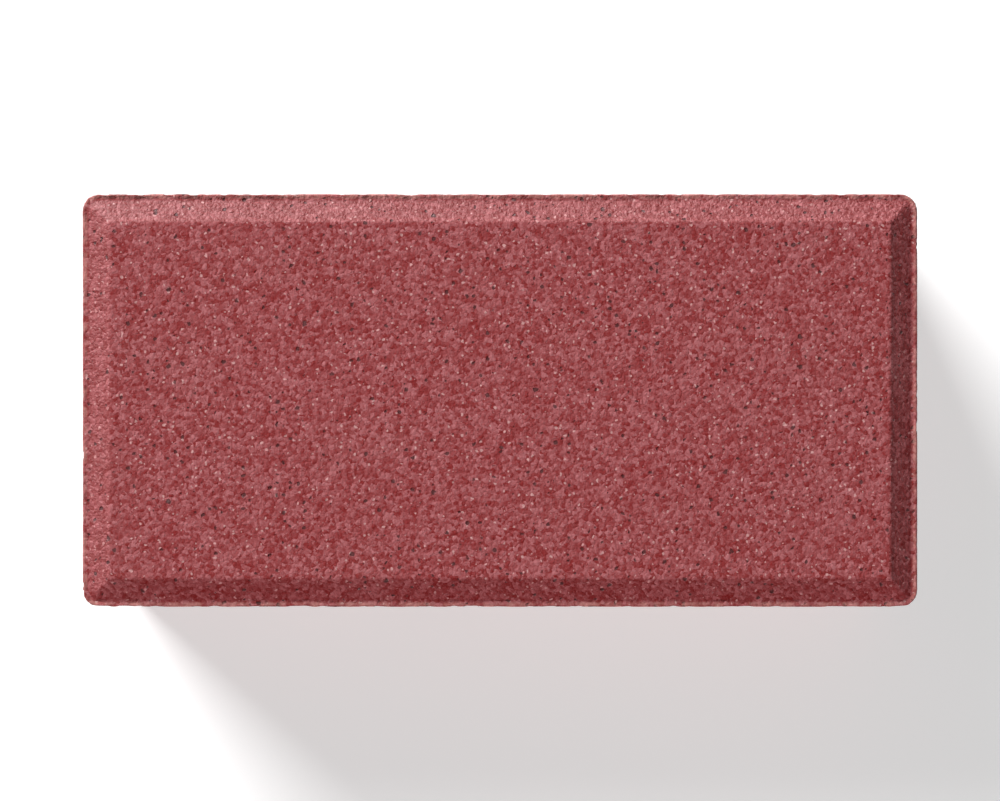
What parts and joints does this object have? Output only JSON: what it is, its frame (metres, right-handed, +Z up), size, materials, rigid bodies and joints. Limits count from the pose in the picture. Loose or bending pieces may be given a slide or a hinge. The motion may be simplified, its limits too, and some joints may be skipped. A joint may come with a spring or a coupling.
{
  "type": "concrete paving stone",
  "caption": "Rectangular red concrete paving stone with a wide chamfer and a narrow lip round its wearing face, for laying on sand in a bond pattern.",
  "frame": {"origin": "centre of the bed face, which lies on the sand", "axes": "+Z up to the wearing face, +X along the stone's length, +Y across its width"},
  "size_m": [0.198, 0.098, 0.06],
  "materials": {
    "red_concrete": "matt pressed concrete, pigmented red, fine sandy grain"
  },
  "bodies": {
    "root": {"paving_stone": "red_concrete"}
  },
  "joints": []
}
